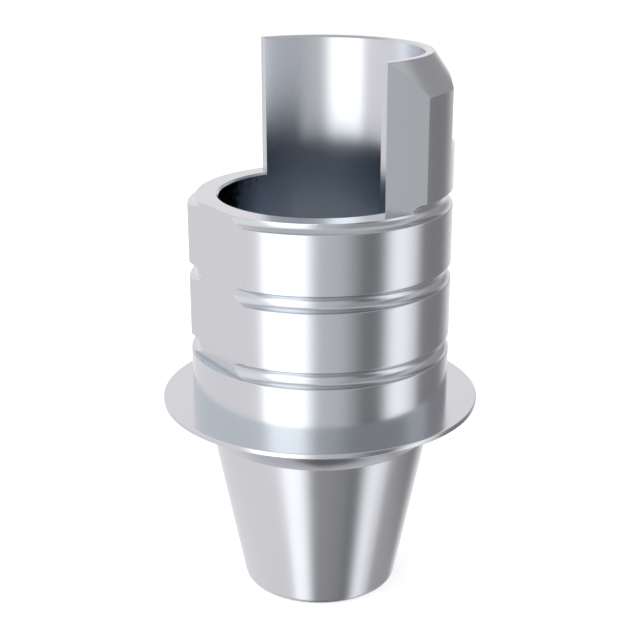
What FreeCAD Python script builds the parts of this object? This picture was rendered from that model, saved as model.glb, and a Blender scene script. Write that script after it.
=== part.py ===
import FreeCAD, Part
import Sketcher
import os

# A dental abutment turned and milled from one titanium blank.
# Lengths in millimetres, angles in degrees. The screw axis is Z, the end face lies at Z 0,
# and the low side of the chimney looks along X.

document = FreeCAD.newDocument("dental_abutment")
sizes = document.addObject("Spreadsheet::Sheet", "Sizes")

driving_sizes = [
    # connection that sits in the implant
    ("end_radius", 1.11),
    ("end_rounding", 0.08),
    ("taper_length", 2.36),
    ("taper_angle", 11.0),
    # collar and flange
    ("collar_height", 0.49),
    ("collar_arc_radius", 1.5),
    ("flange_radius", 2.25),
    ("flange_rim", 0.07),
    # chimney
    ("chimney_radius", 1.825),
    ("chimney_height", 4.87),
    ("land_width", 0.12),
    ("bevel_height", 0.44),
    # retention grooves, measured up from the flange
    ("groove_radius", 0.115),
    ("groove_first", 0.835),
    ("groove_pitch", 1.045),
    # screw channel, its seat and the bore for the screw shank
    ("channel_radius", 1.4),
    ("channel_edge", 0.03),
    ("seat_top", 0.48),
    ("seat_angle", 45.0),
    ("shank_bore_radius", 0.85),
    # flats: their depth in the chimney, the wall left at the window's cut faces,
    # the turn of the flats from the low side, and their foot measured up from the flange
    ("front_flat_depth", 0.165),
    ("front_flat_level", 0.72),
    ("cut_wall", 0.116),
    ("side_flat_angle", 63.6),
    ("back_flat_depth", 0.121),
    ("back_flat_angle", 150.0),
    ("back_flat_level", 3.63),
]

# sizes that follow from the others
following_sizes = [
    ("collar_radius", "=end_radius + taper_length * tan(taper_angle * 1deg)"),
    ("rim_level", "=taper_length + collar_height"),
    ("flange_level", "=rim_level + flange_rim"),
    ("top_level", "=flange_level + chimney_height"),
    ("bevel_level", "=top_level - bevel_height"),
    ("land_radius", "=channel_radius + land_width"),
    ("seat_level", "=flange_level + seat_top"),
    ("seat_foot", "=seat_level - (channel_radius - shank_bore_radius) / tan(seat_angle * 1deg)"),
    ("groove_low", "=flange_level + groove_first"),
    ("groove_middle", "=groove_low + groove_pitch"),
    ("groove_high", "=groove_middle + groove_pitch"),
    ("front_flat_distance", "=chimney_radius - front_flat_depth"),
    ("front_flat_floor", "=flange_level + front_flat_level"),
    ("side_flat_distance", "=(channel_radius + cut_wall) * sin(side_flat_angle * 1deg)"),
    ("back_flat_distance", "=chimney_radius - back_flat_depth"),
    ("back_flat_floor", "=flange_level + back_flat_level"),
    ("reach", "=2 * flange_radius"),
]

for row, (name, content) in enumerate(driving_sizes + following_sizes, start=1):
    sizes.set("A%d" % row, name)
    sizes.set("B%d" % row, str(content))
    sizes.setAlias("B%d" % row, name)
document.recompute()

body = document.addObject("PartDesign::Body", "titanium_base")
body.Label = "titanium_base"


def origin_plane(role):
    for feature in body.Origin.OriginFeatures:
        if feature.Role == role:
            return feature
    raise RuntimeError("no origin plane " + role)


def new_sketch(name, role):
    sketch = body.newObject("Sketcher::SketchObject", name)
    sketch.AttachmentSupport = [(origin_plane(role), "")]
    sketch.MapMode = "FlatFace"
    return sketch


def place_vertex(sketch, geometry, end, across, up):
    # ties one end of a line or arc to two sizes, measured from the origin
    for kind, axis, formula in (("DistanceX", "x", across), ("DistanceY", "y", up)):
        point = sketch.getPoint(geometry, end)
        start_value = point.x if axis == "x" else point.y
        if formula is None:
            target = (geometry, end, -2) if axis == "x" else (geometry, end, -1)
            sketch.addConstraint(Sketcher.Constraint("PointOnObject", *target))
            continue
        number = sketch.addConstraint(
            Sketcher.Constraint(kind, -1, 1, geometry, end, start_value))
        sketch.setExpression("Constraints[%d]" % number, formula)


def value_of(name):
    return float(sizes.get(name))


def hollow_arc(start, finish, radius):
    # an arc that sweeps inwards between two corners
    chord = finish - start
    outward = FreeCAD.Vector(chord.y, -chord.x, 0).normalize()
    offset = (radius ** 2 - (chord.Length / 2) ** 2) ** 0.5
    centre = (start + finish) * 0.5 + outward * offset
    return Part.Arc(start, centre - outward * radius, finish)


def end_numbers(sketch, index, start):
    # a sketch keeps its arcs counter-clockwise, which may swap their two ends
    gaps = [sketch.getPoint(index, end).distanceToPoint(start) for end in (1, 2)]
    return (1, 2) if gaps[0] < gaps[1] else (2, 1)


# the turned outline: half of the section from the screw axis outwards,
# as its corners and the radius of the side that follows each, if it is an arc
outline = new_sketch("TurnedOutline", "XZ_Plane")
corners = [
    ("shank_bore_radius", None, None),
    ("end_radius", None, None),
    ("collar_radius", "taper_length", "collar_arc_radius"),
    ("flange_radius", "rim_level", None),
    ("flange_radius", "flange_level", None),
    ("chimney_radius", "flange_level", None),
    ("chimney_radius", "bevel_level", None),
    ("land_radius", "top_level", None),
    ("channel_radius", "top_level", None),
    ("channel_radius", "seat_level", None),
    ("shank_bore_radius", "seat_foot", None),
]
points = []
for across, up, arc_radius in corners:
    height = 0.0 if up is None else value_of(up)
    points.append(FreeCAD.Vector(value_of(across), height, 0))

side_ends = []
for index, (across, up, arc_radius) in enumerate(corners):
    start = points[index]
    finish = points[(index + 1) % len(points)]
    if arc_radius is None:
        outline.addGeometry(Part.LineSegment(start, finish), False)
    else:
        outline.addGeometry(hollow_arc(start, finish, value_of(arc_radius)), False)
    side_ends.append(end_numbers(outline, index, start))

for index, (across, up, arc_radius) in enumerate(corners):
    following = (index + 1) % len(corners)
    outline.addConstraint(Sketcher.Constraint(
        "Coincident", index, side_ends[index][1], following, side_ends[following][0]))
for index, (across, up, arc_radius) in enumerate(corners):
    up_formula = None if up is None else "Sizes." + up
    place_vertex(outline, index, side_ends[index][0], "Sizes." + across, up_formula)
    if arc_radius is not None:
        number = outline.addConstraint(
            Sketcher.Constraint("Radius", index, value_of(arc_radius)))
        outline.setExpression("Constraints[%d]" % number, "Sizes." + arc_radius)
document.recompute()

turned = body.newObject("PartDesign::Revolution", "Turned")
turned.Profile = outline
turned.ReferenceAxis = (outline, ["V_Axis"])
turned.Angle = 360
document.recompute()


def circle_edges(feature, radius, height, closeness=1e-4):
    # names of the full or broken circles of one radius at one height
    names = []
    for index, edge in enumerate(feature.Shape.Edges):
        curve = edge.Curve
        if not isinstance(curve, Part.Circle):
            continue
        if abs(curve.Radius - radius) > closeness:
            continue
        if abs(curve.Center.z - height) > closeness:
            continue
        names.append("Edge%d" % (index + 1))
    if not names:
        raise RuntimeError("no edge of radius %g at height %g" % (radius, height))
    return names


# the outer edge of the lower end is rounded; the corner at the chimney's foot is sharp
lead_in = body.newObject("PartDesign::Fillet", "EndRounding")
lead_in.Base = (turned, circle_edges(turned, value_of("end_radius"), 0.0))
lead_in.Radius = value_of("end_rounding")
lead_in.setExpression("Radius", "Sizes.end_rounding")
document.recompute()

# three half-round retention grooves
groove_sketch = new_sketch("GrooveSections", "XZ_Plane")
for index, level in enumerate(("groove_low", "groove_middle", "groove_high")):
    centre = FreeCAD.Vector(value_of("chimney_radius"), value_of(level), 0)
    groove_sketch.addGeometry(
        Part.Circle(centre, FreeCAD.Vector(0, 0, 1), value_of("groove_radius")), False)
    place_vertex(groove_sketch, index, 3, "Sizes.chimney_radius", "Sizes." + level)
    number = groove_sketch.addConstraint(
        Sketcher.Constraint("Radius", index, value_of("groove_radius")))
    groove_sketch.setExpression("Constraints[%d]" % number, "Sizes.groove_radius")
document.recompute()

grooves = body.newObject("PartDesign::Groove", "RetentionGrooves")
grooves.Profile = groove_sketch
grooves.ReferenceAxis = (groove_sketch, ["V_Axis"])
grooves.Angle = 360
document.recompute()


def flat_sketch(name, near, level, angle=None):
    # a rectangle from one distance outwards, laid at a height and turned about the axis
    sketch = new_sketch(name, "XY_Plane")
    turn = 0.0 if angle is None else value_of(angle)
    sketch.AttachmentOffset = FreeCAD.Placement(
        FreeCAD.Vector(0, 0, value_of(level)),
        FreeCAD.Rotation(FreeCAD.Vector(0, 0, 1), turn))
    sketch.setExpression("AttachmentOffset.Base.z", "Sizes." + level)
    if angle is not None:
        sketch.setExpression("AttachmentOffset.Rotation.Angle", "Sizes." + angle)
    left = 0.0 if near is None else value_of(near)
    reach = value_of("reach")
    box = [
        FreeCAD.Vector(left, -reach, 0),
        FreeCAD.Vector(reach, -reach, 0),
        FreeCAD.Vector(reach, reach, 0),
        FreeCAD.Vector(left, reach, 0),
    ]
    for index in range(4):
        sketch.addGeometry(Part.LineSegment(box[index], box[(index + 1) % 4]), False)
    for index in range(4):
        sketch.addConstraint(
            Sketcher.Constraint("Coincident", index, 2, (index + 1) % 4, 1))
    for kind, index in (("Horizontal", 0), ("Horizontal", 2), ("Vertical", 3)):
        sketch.addConstraint(Sketcher.Constraint(kind, index))
    sketch.addConstraint(Sketcher.Constraint("Symmetric", 1, 1, 1, 2, -1))
    if near is None:
        sketch.addConstraint(Sketcher.Constraint("PointOnObject", 3, 1, -2))
    else:
        number = sketch.addConstraint(
            Sketcher.Constraint("DistanceX", -1, 1, 3, 1, left))
        sketch.setExpression("Constraints[%d]" % number, "Sizes." + near)
    number = sketch.addConstraint(Sketcher.Constraint("DistanceX", -1, 1, 1, 1, reach))
    sketch.setExpression("Constraints[%d]" % number, "Sizes.reach")
    number = sketch.addConstraint(Sketcher.Constraint("DistanceY", 1, 1, 1, 2, 2 * reach))
    sketch.setExpression("Constraints[%d]" % number, "2 * Sizes.reach")
    return sketch


least_cut = 1e-3    # cubic millimetres that each milled flat takes away at least


def mill_up(name, sketch):
    # takes away everything above the sketch and proves that metal was removed
    document.recompute()
    before = body.Tip.Shape.Volume
    cut = body.newObject("PartDesign::Pocket", name)
    cut.Profile = sketch
    cut.Type = "ThroughAll"
    cut.Reversed = True
    document.recompute()
    if before - cut.Shape.Volume < least_cut:
        raise RuntimeError(name + " removed nothing")
    return cut


def mirror_cut(name, cut):
    before = cut.Shape.Volume
    mirrored = body.newObject("PartDesign::Mirrored", name)
    mirrored.Originals = [cut]
    mirrored.MirrorPlane = (origin_plane("XZ_Plane"), [""])
    body.Tip = mirrored
    document.recompute()
    if before - mirrored.Shape.Volume < least_cut:
        raise RuntimeError(name + " removed nothing")
    return mirrored


# half of the chimney is cut away down to the middle of the top groove
window = mill_up("Window", flat_sketch("WindowPlan", None, "groove_high"))

# the flat under the window
front_flat = mill_up("FrontFlat", flat_sketch("FrontFlatPlan", "front_flat_distance",
                                              "front_flat_floor"))

# two flats that thin the wall beside the window
side_flat = mill_up("SideFlat", flat_sketch("SideFlatPlan", "side_flat_distance",
                                            "groove_high", "side_flat_angle"))
side_flats = mirror_cut("SideFlats", side_flat)

# two flats at the back of the tall wall
back_flat = mill_up("BackFlat", flat_sketch("BackFlatPlan", "back_flat_distance",
                                            "back_flat_floor", "back_flat_angle"))
back_flats = mirror_cut("BackFlats", back_flat)

# the edges of the screw channel are broken
mouth_edges = circle_edges(back_flats, value_of("channel_radius"), value_of("groove_high"))
mouth_edges += circle_edges(back_flats, value_of("channel_radius"), value_of("top_level"))
mouth = body.newObject("PartDesign::Chamfer", "ChannelEdges")
mouth.Base = (back_flats, mouth_edges)
mouth.Size = value_of("channel_edge")
mouth.setExpression("Size", "Sizes.channel_edge")
body.Tip = mouth
document.recompute()

for item in document.Objects:
    if "Invalid" in item.State or "Error" in item.State:
        raise RuntimeError(item.Name + " did not build")
if body.Shape.isNull() or not body.Shape.isValid():
    raise RuntimeError("the solid is not valid")
if len(body.Shape.Solids) != 1:
    raise RuntimeError("more than one solid")

os.makedirs("parts", exist_ok=True)
body.Shape.exportStep(os.path.join("parts", body.Label + ".step"))
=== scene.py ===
import math

import bmesh
import bpy
from mathutils import Matrix, Vector


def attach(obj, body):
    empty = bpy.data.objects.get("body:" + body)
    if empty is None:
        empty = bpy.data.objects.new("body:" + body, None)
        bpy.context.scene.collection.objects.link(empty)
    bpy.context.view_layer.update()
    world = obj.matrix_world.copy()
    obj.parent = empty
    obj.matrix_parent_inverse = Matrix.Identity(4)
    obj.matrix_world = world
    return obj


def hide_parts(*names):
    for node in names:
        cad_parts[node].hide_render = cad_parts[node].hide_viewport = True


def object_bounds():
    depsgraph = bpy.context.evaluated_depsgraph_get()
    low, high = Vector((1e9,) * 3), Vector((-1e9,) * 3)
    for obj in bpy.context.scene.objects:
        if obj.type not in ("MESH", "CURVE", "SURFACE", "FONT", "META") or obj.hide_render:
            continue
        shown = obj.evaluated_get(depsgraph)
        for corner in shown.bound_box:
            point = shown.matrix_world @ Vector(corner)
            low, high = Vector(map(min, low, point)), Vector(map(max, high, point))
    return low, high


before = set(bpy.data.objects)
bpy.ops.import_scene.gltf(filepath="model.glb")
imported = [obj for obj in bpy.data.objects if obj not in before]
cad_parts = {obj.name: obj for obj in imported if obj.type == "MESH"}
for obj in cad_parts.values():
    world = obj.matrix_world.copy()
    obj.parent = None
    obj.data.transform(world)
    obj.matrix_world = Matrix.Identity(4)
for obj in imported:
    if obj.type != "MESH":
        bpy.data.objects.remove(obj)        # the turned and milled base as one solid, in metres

scene = bpy.context.scene
cadLow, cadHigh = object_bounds()        # the CAD box, for the sizes here
mm = 0.001


def linearColour(hexText):
    channels = [int(hexText[i:i + 2], 16) / 255 for i in (1, 3, 5)]
    return [c / 12.92 if c <= 0.04045 else ((c + 0.055) / 1.055) ** 2.4 for c in channels] + [1.0]


# adds one node, sets its sockets and properties by name, and links what feeds it
def addNode(tree, kind, settings=None, links=None):
    made = tree.nodes.new(kind)
    for name, value in (settings or {}).items():
        if isinstance(name, int) or name in made.inputs:
            made.inputs[name].default_value = value
        else:
            setattr(made, name, value)
    for name, source in (links or {}).items():
        tree.links.new(source, made.inputs[name])
    return made


def newMaterial(name):
    material = bpy.data.materials.new(name)
    material.use_nodes = True
    material.node_tree.nodes.clear()
    return material, material.node_tree


def addObject(name, bm):
    mesh = bpy.data.meshes.new(name)
    bm.to_mesh(mesh)
    bm.free()
    made = bpy.data.objects.new(name, mesh)
    scene.collection.objects.link(made)
    return made


# The abutment: lengths in millimetres from the flat end face up, angles in degrees
abutment = {
    "flangeRadius": (cadHigh.x - cadLow.x) / 2 / mm,
    "topLevel": cadHigh.z / mm,
    "endRadius": 1.11,
    "endRounding": 0.08,
    "taperLength": 2.36,
    "taperAngle": 11.0,
    "collarHeight": 0.49,
    "collarSweep": 1.5,
    "rimHeight": 0.07,
    "rimBreak": 0.012,        # a break is the fillet on an edge that looks sharp
    "chimneyRadius": 1.825,
    "grooveRadius": 0.115,
    "grooveLevels": (3.755, 4.80, 5.845),
    "lipBreak": 0.010,
    "bevelHeight": 0.44,
    "landWidth": 0.12,
    "landBreak": 0.012,
    "channelRadius": 1.40,
    "channelEdge": 0.03,
    "seatLevel": 3.40,
    "shankRadius": 0.85,
    "edgeRounding": 0.02,     # on the blunt edges, such as the bevel's foot and the seat's two rims
    "flats": {                # distance from the screw axis, turn from the low side, level of the floor
        "frontFlat": {"distance": 1.66, "turn": 0.0, "floor": 3.64},
        "sideFlat": {"distance": 1.358, "turn": 63.6, "floor": 5.845},
        "backFlat": {"distance": 1.704, "turn": 150.0, "floor": 6.55},
    },
    "steps": 288,             # columns of faces in a full turn
    "arcSteps": 20,           # along a groove's half circle and along the collar's sweep
    "sharpAngle": 18.0,       # edges that bend more than this stay crisp
}


# points along an arc that bulges to the left of the way from start to finish
def arcPoints(start, finish, radius, count):
    start, finish = Vector(start), Vector(finish)
    chord = finish - start
    left = Vector((-chord.y, chord.x)).normalized()
    centre = (start + finish) / 2 - left * math.sqrt(radius ** 2 - (chord.length / 2) ** 2)
    first = start - centre
    sweep = first.angle_signed(finish - centre)
    turned = [first @ Matrix.Rotation(sweep * i / count, 2) for i in range(count + 1)]
    return [tuple(centre + point) for point in turned]


# replaces each corner that has a rounding by the points of its fillet, with one more point close
# to either end of it, so that the long faces beside a fillet are shaded as straight as they are
def roundCorners(corners, count=5, beside=0.03):
    outline = []
    for index, (across, up, rounding) in enumerate(corners):
        here = Vector((across, up))
        if not rounding:
            outline.append((across, up))
            continue
        back = Vector(corners[index - 1][:2]) - here
        ahead = Vector(corners[(index + 1) % len(corners)][:2]) - here
        before, after = back.normalized(), ahead.normalized()
        half = before.angle(after) / 2
        reach = rounding / math.tan(half)
        centre = here + (before + after).normalized() * rounding / math.sin(half)
        first = here + before * reach - centre
        sweep = first.angle_signed(here + after * reach - centre)
        if back.length > reach + 2 * beside:
            outline.append(tuple(here + before * (reach + beside)))
        for step in range(count + 1):
            outline.append(tuple(centre + first @ Matrix.Rotation(sweep * step / count, 2)))
        if ahead.length > reach + 2 * beside:
            outline.append(tuple(here + after * (reach + beside)))
    return outline


# half of the section, from the shank bore out, up the outside and down the screw channel
def sectionOutline(sizes):
    spread = math.tan(math.radians(sizes["taperAngle"]))
    collarRadius = sizes["endRadius"] + sizes["taperLength"] * spread
    rimLevel = sizes["taperLength"] + sizes["collarHeight"]
    flangeLevel = rimLevel + sizes["rimHeight"]
    sweep = arcPoints((collarRadius, sizes["taperLength"]), (sizes["flangeRadius"], rimLevel),
                      sizes["collarSweep"], sizes["arcSteps"])
    blunt = sizes["edgeRounding"]
    corners = [
        (sizes["shankRadius"], 0.0, blunt),
        (sizes["endRadius"], 0.0, sizes["endRounding"]),
    ]
    corners += [(across, up, 0) for across, up in sweep[:-1]]
    corners += [
        (sizes["flangeRadius"], rimLevel, sizes["rimBreak"]),
        (sizes["flangeRadius"], flangeLevel, sizes["rimBreak"]),
        (sizes["chimneyRadius"], flangeLevel, 0),
    ]
    for level in sizes["grooveLevels"]:
        # half a circle cut into the wall, its lips just broken
        reach, last = sizes["grooveRadius"], sizes["arcSteps"]
        for step in range(last + 1):
            angle = math.pi * (step / last - 0.5)
            across = sizes["chimneyRadius"] - reach * math.cos(angle)
            lip = sizes["lipBreak"] if step in (0, last) else 0
            corners.append((across, level + reach * math.sin(angle), lip))
    landRadius = sizes["channelRadius"] + sizes["landWidth"]
    seatDrop = sizes["channelRadius"] - sizes["shankRadius"]
    corners += [
        (sizes["chimneyRadius"], sizes["topLevel"] - sizes["bevelHeight"], blunt),
        (landRadius, sizes["topLevel"], sizes["landBreak"]),
        (sizes["channelRadius"] + sizes["channelEdge"], sizes["topLevel"], 0),
        (sizes["channelRadius"], sizes["topLevel"] - sizes["channelEdge"], 0),
        (sizes["channelRadius"], sizes["seatLevel"], blunt),
        (sizes["shankRadius"], sizes["seatLevel"] - seatDrop, blunt),
    ]
    return roundCorners(corners)


# spins a closed outline of (radius, height) in millimetres about the screw axis
def spinOutline(outline, steps, start=0.0, turn=360.0):
    bm = bmesh.new()
    corners = [bm.verts.new((across * mm, 0, up * mm)) for across, up in outline]
    edges = [bm.edges.new((corners[i - 1], corners[i])) for i in range(len(corners))]
    bmesh.ops.rotate(bm, verts=bm.verts, cent=(0, 0, 0),
                     matrix=Matrix.Rotation(math.radians(start), 3, "Z"))
    fullTurn = turn == 360.0
    if not fullTurn:
        bmesh.ops.contextual_create(bm, geom=edges)
    bmesh.ops.spin(bm, geom=corners + edges + list(bm.faces), cent=(0, 0, 0), axis=(0, 0, 1),
                   angle=math.radians(turn), steps=steps, use_merge=fullTurn)
    weld = 0.00001 * mm
    bmesh.ops.remove_doubles(bm, verts=bm.verts, dist=weld)
    bmesh.ops.recalc_face_normals(bm, faces=bm.faces)
    return bm


# a block that mills away everything beyond a plane, above a floor
def millBlock(name, distance, turn, floor):
    side = 6.0        # mm, more than the chimney is across or tall
    bm = bmesh.new()
    bmesh.ops.create_cube(bm, size=side * mm)
    middle = Vector((distance + side / 2, 0, floor + side / 2))
    bmesh.ops.translate(bm, verts=bm.verts, vec=middle * mm)
    bmesh.ops.rotate(bm, verts=bm.verts, cent=(0, 0, 0),
                     matrix=Matrix.Rotation(math.radians(turn), 3, "Z"))
    return addObject(name, bm)


def mill(piece, cutter):
    cut = piece.modifiers.new("cut", "BOOLEAN")
    cut.operation = "DIFFERENCE"
    cut.solver = "EXACT"
    cut.object = cutter
    graph = bpy.context.evaluated_depsgraph_get()
    milled = bpy.data.meshes.new_from_object(piece.evaluated_get(graph))
    piece.modifiers.clear()
    old = piece.data
    piece.data = milled
    bpy.data.meshes.remove(old)
    bpy.data.objects.remove(cutter)


# one flat where it lies in the plane of symmetry, and else a mirrored pair
def flatTurns(flat):
    return [flat["turn"], -flat["turn"]] if flat["turn"] else [0.0]


# gives the faces that lie on a milled plane the second material
def markFlats(mesh, sizes):
    sameWay = 0.9999          # cosine of the angle between a face and the plane
    sameDepth = 0.001         # mm between them
    for flat in sizes["flats"].values():
        for turn in flatTurns(flat):
            angle = math.radians(turn)
            out = Vector((math.cos(angle), math.sin(angle), 0))
            for face in mesh.polygons:
                gap = abs(face.center.dot(out) / mm - flat["distance"])
                if face.normal.dot(out) > sameWay and gap < sameDepth:
                    face.material_index = 1


def buildAbutment(sizes):
    piece = addObject("titaniumBase", spinOutline(sectionOutline(sizes), sizes["steps"]))
    cutLevel = sizes["grooveLevels"][-1]
    edge = sizes["channelEdge"]
    bore = sizes["channelRadius"]
    # the broken edge of the screw channel on the low side, a ring of triangular section
    over = 0.02               # mm that the ring reaches past the metal it takes away
    ring = [(bore - over, cutLevel - edge - over), (bore + edge + over, cutLevel + over),
            (bore - over, cutLevel + over)]
    mill(piece, addObject("mouthRing", spinOutline(ring, sizes["steps"] // 2, -90.0, 180.0)))
    mill(piece, millBlock("windowBlock", 0.0, 0.0, cutLevel))
    for name, flat in sizes["flats"].items():
        for turn in flatTurns(flat):
            mill(piece, millBlock(name, flat["distance"], turn, flat["floor"]))
    mesh = piece.data
    mesh.shade_smooth()
    mesh.set_sharp_from_angle(angle=math.radians(sizes["sharpAngle"]))
    weighted = piece.modifiers.new("weighted", "WEIGHTED_NORMAL")
    weighted.keep_sharp = True
    weighted.weight = 100             # the larger faces decide the shading at a corner they share
    return piece


base = buildAbutment(abutment)
print("abutment built:", len(base.data.polygons), "faces")


# Turned and milled titanium alloy, bright and cool grey, with the faint rings of the tool
titanium = {
    "colour": "#D3D7DC",
    "roughness": 0.20,
    "roughnessSpread": 0.05,
    "cloudSize": 0.9,              # mm across a patch that is a little duller or brighter
    "boreRoughness": (0.12, 0.24), # the bore is smooth in its depth and duller towards its mouth
    "boreLevels": (5.7, 6.7),      # mm, where the one goes over into the other
    "boreMargin": 0.005,           # mm added to a bore's radius, so that its wall counts as inside
    "channelLevel": 2.6,           # mm, above the cone and below the seat
    "ringPitch": 0.03,             # mm between the tool's rings, drawn coarser than the real 0.01 to show
    "ringDepth": 0.00003,          # mm
    "ringStretch": 0.02,           # how fast a ring changes along its run, against how fast along Z
    "millRoughness": 0.30,
    "millPitch": 0.02,             # mm, also drawn coarser than the real marks
    "millDepth": 0.00002,          # mm
    "millStretch": 0.025,          # the same for a milling mark
    "footRoughness": 0.9,          # the mill's corner drags at the foot of the front flat and dulls it
    "footReach": 0.14,             # mm up from the flat's floor
}


def titaniumMaterial(facts):
    material, tree = newMaterial("turnedTitanium")
    place = addNode(tree, "ShaderNodeTexCoord").outputs["Object"]
    # rings round the screw axis: noise that changes quickly along Z and slowly round it
    step, stretch = facts["ringPitch"] * mm, facts["ringStretch"]
    stretched = addNode(tree, "ShaderNodeMapping", {"Scale": (stretch / step, stretch / step, 1 / step)},
                        {"Vector": place})
    rings = addNode(tree, "ShaderNodeTexNoise", {"Scale": 1.0, "Detail": 3.0, "Roughness": 0.6},
                    {"Vector": stretched.outputs["Vector"]})
    clouds = addNode(tree, "ShaderNodeTexNoise",
                     {"Scale": 1 / (facts["cloudSize"] * mm), "Detail": 2.0}, {"Vector": place})
    mixed = addNode(tree, "ShaderNodeMath", {"operation": "ADD"},
                    {0: rings.outputs["Fac"], 1: clouds.outputs["Fac"]})
    rough = addNode(tree, "ShaderNodeMapRange",
                    {"From Min": 0.6, "From Max": 1.4,
                     "To Min": facts["roughness"] - facts["roughnessSpread"] / 2,
                     "To Max": facts["roughness"] + facts["roughnessSpread"] / 2},
                    {"Value": mixed.outputs["Value"]})
    # the bore: inside its radius and above the cone, or inside the shank bore
    margin = facts["boreMargin"]
    apart = addNode(tree, "ShaderNodeSeparateXYZ", None, {0: place})
    across = addNode(tree, "ShaderNodeCombineXYZ", None,
                     {"X": apart.outputs["X"], "Y": apart.outputs["Y"]})
    radius = addNode(tree, "ShaderNodeVectorMath", {"operation": "LENGTH"},
                     {0: across.outputs["Vector"]})
    inChannel = addNode(tree, "ShaderNodeMath",
                        {"operation": "LESS_THAN", 1: (abutment["channelRadius"] + margin) * mm},
                        {0: radius.outputs["Value"]})
    aboveCone = addNode(tree, "ShaderNodeMath",
                        {"operation": "GREATER_THAN", 1: facts["channelLevel"] * mm},
                        {0: apart.outputs["Z"]})
    inShank = addNode(tree, "ShaderNodeMath",
                      {"operation": "LESS_THAN", 1: (abutment["shankRadius"] + margin) * mm},
                      {0: radius.outputs["Value"]})
    channel = addNode(tree, "ShaderNodeMath", {"operation": "MULTIPLY"},
                      {0: inChannel.outputs["Value"], 1: aboveCone.outputs["Value"]})
    inside = addNode(tree, "ShaderNodeMath", {"operation": "MAXIMUM"},
                     {0: channel.outputs["Value"], 1: inShank.outputs["Value"]})
    boreRough = addNode(tree, "ShaderNodeMapRange",
                        {"interpolation_type": "SMOOTHSTEP",
                         "From Min": facts["boreLevels"][0] * mm,
                         "From Max": facts["boreLevels"][1] * mm,
                         "To Min": facts["boreRoughness"][0],
                         "To Max": facts["boreRoughness"][1]},
                        {"Value": apart.outputs["Z"]})
    dulled = addNode(tree, "ShaderNodeMix", {"data_type": "FLOAT"},
                     {"Factor": inside.outputs["Value"], "A": rough.outputs["Result"],
                      "B": boreRough.outputs["Result"]})
    bump = addNode(tree, "ShaderNodeBump",
                   {"Strength": 1.0, "Distance": facts["ringDepth"] * mm},
                   {"Height": rings.outputs["Fac"]})
    metal = addNode(tree, "ShaderNodeBsdfPrincipled",
                    {"Base Color": linearColour(facts["colour"]), "Metallic": 1.0},
                    {"Roughness": dulled.outputs["Result"], "Normal": bump.outputs["Normal"]})
    addNode(tree, "ShaderNodeOutputMaterial", None, {"Surface": metal.outputs["BSDF"]})
    return material


# The flats: the same metal, with the straight marks of an end mill that ran across them
def milledMaterial(facts):
    material, tree = newMaterial("milledTitanium")
    place = addNode(tree, "ShaderNodeTexCoord").outputs["Object"]
    step, stretch = facts["millPitch"] * mm, facts["millStretch"]
    stretched = addNode(tree, "ShaderNodeMapping", {"Scale": (stretch / step, stretch / step, 1 / step)},
                        {"Vector": place})
    marks = addNode(tree, "ShaderNodeTexNoise", {"Scale": 1.0, "Detail": 4.0, "Roughness": 0.7},
                    {"Vector": stretched.outputs["Vector"]})
    rough = addNode(tree, "ShaderNodeMapRange",
                    {"From Min": 0.3, "From Max": 0.7,
                     "To Min": facts["millRoughness"] - facts["roughnessSpread"],
                     "To Max": facts["millRoughness"] + facts["roughnessSpread"]},
                    {"Value": marks.outputs["Fac"]})
    apart = addNode(tree, "ShaderNodeSeparateXYZ", None, {0: place})
    floor = abutment["flats"]["frontFlat"]["floor"]
    foot = addNode(tree, "ShaderNodeMapRange",
                   {"interpolation_type": "SMOOTHSTEP", "From Min": floor * mm,
                    "From Max": (floor + facts["footReach"]) * mm,
                    "To Min": facts["footRoughness"], "To Max": 0.0},
                   {"Value": apart.outputs["Z"]})
    dulled = addNode(tree, "ShaderNodeMath", {"operation": "MAXIMUM"},
                     {0: rough.outputs["Result"], 1: foot.outputs["Result"]})
    bump = addNode(tree, "ShaderNodeBump",
                   {"Strength": 1.0, "Distance": facts["millDepth"] * mm},
                   {"Height": marks.outputs["Fac"]})
    metal = addNode(tree, "ShaderNodeBsdfPrincipled",
                    {"Base Color": linearColour(facts["colour"]), "Metallic": 1.0},
                    {"Roughness": dulled.outputs["Value"], "Normal": bump.outputs["Normal"]})
    addNode(tree, "ShaderNodeOutputMaterial", None, {"Surface": metal.outputs["BSDF"]})
    return material


base.data.materials.clear()
base.data.materials.append(titaniumMaterial(titanium))
base.data.materials.append(milledMaterial(titanium))
markFlats(base.data, abutment)
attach(base, "root")
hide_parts("titanium_base")
print("titanium finished")


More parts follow.
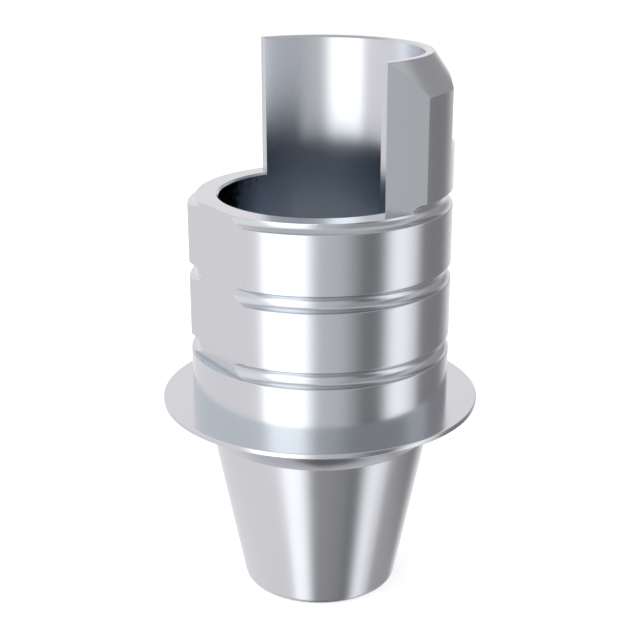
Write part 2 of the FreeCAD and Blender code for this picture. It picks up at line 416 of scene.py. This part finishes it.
# The studio: a white tent with soft boxes and grey flags, which only the metal's gloss sees
studio = {
    "floorSide": 0.4,
    "floorColour": "#F2F2F2",
    "floorLift": 0.36,        # what the camera sees on top of the paper's own light, so that it is white
    "tentRadius": 0.08,
    "tentSteps": 96,
    "tentBrightness": 0.91,   # where white paper is 1
    "warmTint": "#FFF9FA",    # of the tent's own cloth and of the panels marked warm
    "seam": -150.0,           # the azimuth at which the count of degrees starts
    "bounces": 8,             # light reaches the bottom of the bore by several mirror bounces
    # azimuths count from the camera's own, positive to its right, and elevations from level, both
    # in degrees, as is the softness of the left edge, of the right edge and of the top and foot; a
    # later panel hangs before an earlier one; azimuths of 400 either way mean all round, and
    # elevations of 120 mean right up or right down
    "panels": {
        "ceiling": {"azimuth": (-400, 400), "elevation": (52, 120), "soft": (1, 1, 24),
                    "brightness": 0.62},
        "zenith": {"azimuth": (-400, 400), "elevation": (62, 83), "soft": (1, 1, 10),
                   "brightness": 0.60},
        # painted shade: the floor below the part, darker than the tent's cloth, which the metal's gloss
        # sees in place of the hidden floor
        "paintedFloorShade": {"azimuth": (-400, 400), "elevation": (-120, -52), "soft": (1, 1, 16),
                       "brightness": 0.75, "warm": True},
        "clothLeft": {"azimuth": (-400, -50), "elevation": (3, 52), "soft": (8, 8, 14),
                      "brightness": 0.99},
        "clothBehind": {"azimuth": (158, 400), "elevation": (-30, 52), "soft": (30, 8, 14),
                        "brightness": 0.98, "warm": True},
        "softBoxLeft": {"azimuth": (-50, -4), "elevation": (-42, 7), "soft": (11, 14, 16),
                        "brightness": 1.9},
        "softBoxLeftHigh": {"azimuth": (-47, -6), "elevation": (5, 46), "soft": (15, 12, 16),
                            "brightness": 1.78},
        "softBoxLeftLow": {"azimuth": (-45, -6), "elevation": (-70, -38), "soft": (9, 9, 10),
                           "brightness": 1.47},
        "greyMiddle": {"azimuth": (-9, 32), "elevation": (-120, 48), "soft": (22, 20, 12),
                       "brightness": 0.62},
        "greyMiddleLow": {"azimuth": (-16, 31), "elevation": (-120, -36), "soft": (24, 20, 12),
                          "brightness": 0.34, "warm": True},
        "flagRight": {"azimuth": (27, 62), "elevation": (-120, 8), "soft": (26, 16, 12),
                      "brightness": 0.20},
        "flagRightHigh": {"azimuth": (20, 100), "elevation": (8, 52), "soft": (22, 16, 12),
                          "brightness": 0.39},
        "softBoxRight": {"azimuth": (60, 82), "elevation": (-40, 10), "soft": (22, 20, 12),
                         "brightness": 1.27},
        "softBoxRightLow": {"azimuth": (56, 75), "elevation": (-66, -38), "soft": (22, 8, 10),
                            "brightness": 1.24},
        "flagFarRight": {"azimuth": (93, 143), "elevation": (-42, 4), "soft": (14, 34, 10),
                         "brightness": 0.26, "warm": True},
        "flagFarRightHigh": {"azimuth": (100, 158), "elevation": (2, 46), "soft": (14, 20, 10),
                             "brightness": 0.39, "warm": True},
        "greyFarRight": {"azimuth": (87, 152), "elevation": (-53, -36), "soft": (11, 14, 10),
                         "brightness": 0.43, "warm": True},
        "glowRight": {"azimuth": (82, 109), "elevation": (12, 50), "soft": (16, 12, 12),
                      "brightness": 0.63},
        "darkFoot": {"azimuth": (-50, 86), "elevation": (-120, -60), "soft": (24, 50, 10),
                     "brightness": 0.17},
    },
}


# how far a value lies between a panel's two edges, from 0 outside to 1 inside
def softMask(tree, value, edges, softs):
    masks = []
    for edge, soft, ends in ((edges[0], softs[0], (0.0, 1.0)), (edges[1], softs[1], (1.0, 0.0))):
        masks.append(addNode(tree, "ShaderNodeMapRange",
                             {"interpolation_type": "SMOOTHSTEP", "From Min": edge - soft / 2,
                              "From Max": edge + soft / 2, "To Min": ends[0], "To Max": ends[1]},
                             {"Value": value}))
    both = addNode(tree, "ShaderNodeMath", {"operation": "MULTIPLY"},
                   {0: masks[0].outputs["Result"], 1: masks[1].outputs["Result"]})
    return both.outputs["Value"]


def tentMaterial(facts, camTurn):
    material, tree = newMaterial("tentCloth")
    place = addNode(tree, "ShaderNodeTexCoord").outputs["Object"]
    straight = addNode(tree, "ShaderNodeVectorMath", {"operation": "NORMALIZE"}, {0: place})
    # turned so that the seam lies where the arc tangent jumps
    middle = facts["seam"] + 180.0
    turned = addNode(tree, "ShaderNodeVectorRotate",
                     {"rotation_type": "Z_AXIS", "Angle": -math.radians(camTurn + middle)},
                     {"Vector": straight.outputs["Vector"]})
    apart = addNode(tree, "ShaderNodeSeparateXYZ", None, {0: turned.outputs["Vector"]})
    swing = addNode(tree, "ShaderNodeMath", {"operation": "ARCTAN2"},
                    {0: apart.outputs["Y"], 1: apart.outputs["X"]})
    azimuth = addNode(tree, "ShaderNodeMath",
                      {"operation": "MULTIPLY_ADD", 1: math.degrees(1.0), 2: middle},
                      {0: swing.outputs["Value"]}).outputs["Value"]
    rise = addNode(tree, "ShaderNodeMath", {"operation": "ARCSINE"}, {0: apart.outputs["Z"]})
    elevation = addNode(tree, "ShaderNodeMath", {"operation": "MULTIPLY", 1: math.degrees(1.0)},
                        {0: rise.outputs["Value"]}).outputs["Value"]
    tint = linearColour(facts["warmTint"])
    light = addNode(tree, "ShaderNodeRGB").outputs["Color"]
    light.default_value = [c * facts["tentBrightness"] for c in tint]
    for panel in facts["panels"].values():
        cloth = tint if panel.get("warm") else (1, 1, 1, 1)
        shade = [c * panel["brightness"] for c in cloth]
        sideways = softMask(tree, azimuth, panel["azimuth"], panel["soft"][:2])
        upwards = softMask(tree, elevation, panel["elevation"], panel["soft"][2:] * 2)
        mask = addNode(tree, "ShaderNodeMath", {"operation": "MULTIPLY"}, {0: sideways, 1: upwards})
        # sockets 6 and 7 are the node's two colours, and 2 is the mixed one
        light = addNode(tree, "ShaderNodeMix", {"data_type": "RGBA", 7: shade},
                        {"Factor": mask.outputs["Value"], 6: light}).outputs[2]
    glow = addNode(tree, "ShaderNodeEmission", None, {"Color": light})
    addNode(tree, "ShaderNodeOutputMaterial", None, {"Surface": glow.outputs["Emission"]})
    material.cycles.emission_sampling = "NONE"
    return material


def addTent(facts, camTurn):
    bm = bmesh.new()
    bmesh.ops.create_uvsphere(bm, u_segments=facts["tentSteps"], v_segments=facts["tentSteps"] // 2,
                              radius=facts["tentRadius"])
    bmesh.ops.reverse_faces(bm, faces=bm.faces)
    tent = addObject("tent", bm)
    tent.data.materials.append(tentMaterial(facts, camTurn))
    tent.visible_camera = False
    tent.visible_diffuse = False
    tent.visible_shadow = False


def addFloor(facts):
    bm = bmesh.new()
    bmesh.ops.create_grid(bm, x_segments=1, y_segments=1, size=facts["floorSide"] / 2)
    floor = addObject("floor", bm)
    material, tree = newMaterial("whitePaper")
    paper = addNode(tree, "ShaderNodeBsdfDiffuse", {"Color": linearColour(facts["floorColour"])})
    path = addNode(tree, "ShaderNodeLightPath")
    lift = addNode(tree, "ShaderNodeMath", {"operation": "MULTIPLY", 1: facts["floorLift"]},
                   {0: path.outputs["Is Camera Ray"]})
    white = addNode(tree, "ShaderNodeEmission", {"Color": (1, 1, 1, 1)},
                    {"Strength": lift.outputs["Value"]})
    both = addNode(tree, "ShaderNodeAddShader", None,
                   {0: paper.outputs["BSDF"], 1: white.outputs["Emission"]})
    addNode(tree, "ShaderNodeOutputMaterial", None, {"Surface": both.outputs["Shader"]})
    floor.data.materials.append(material)
    floor.visible_glossy = False
    floor.visible_shadow = False


def addWorld():
    world = bpy.data.worlds.new("whiteTent")
    scene.world = world
    world.use_nodes = True
    world.node_tree.nodes.clear()
    light = addNode(world.node_tree, "ShaderNodeBackground",
                    {"Color": (1, 1, 1, 1), "Strength": 1.0})
    addNode(world.node_tree, "ShaderNodeOutputWorld", None, {"Surface": light.outputs["Background"]})


# The camera, at the photograph's viewing angle
camera = {
    "turn": 56.4,             # degrees from X, anticlockwise from above
    "elevation": 19.425,      # degrees
    "distance": 18.682,       # mm from the point it looks at
    "aimLevel": 3.969,        # mm up the screw axis
    "lens": 73.78,            # mm
    "sensor": 36,             # mm
    "reach": (0.001, 2),      # metres, the nearest and farthest that it sees
}


def addCamera(facts):
    made = bpy.data.objects.new("camera", bpy.data.cameras.new("camera"))
    scene.collection.objects.link(made)
    turn, lift = math.radians(facts["turn"]), math.radians(facts["elevation"])
    level = math.cos(lift)
    away = Vector((math.cos(turn) * level, math.sin(turn) * level, math.sin(lift)))
    made.location = Vector((0, 0, facts["aimLevel"] * mm)) + away * facts["distance"] * mm
    made.rotation_euler = (-away).to_track_quat("-Z", "Y").to_euler()
    made.data.lens = facts["lens"]
    made.data.sensor_width = facts["sensor"]
    made.data.clip_start, made.data.clip_end = facts["reach"]
    scene.camera = made


addTent(studio, camera["turn"])
addFloor(studio)
addWorld()
addCamera(camera)
scene.view_settings.view_transform = "Standard"
scene.cycles.max_bounces = studio["bounces"]
scene.cycles.glossy_bounces = studio["bounces"]
scene.cycles.blur_glossy = 0.0        # the later bounces in the bore stay as sharp as the first
print("studio and camera set")
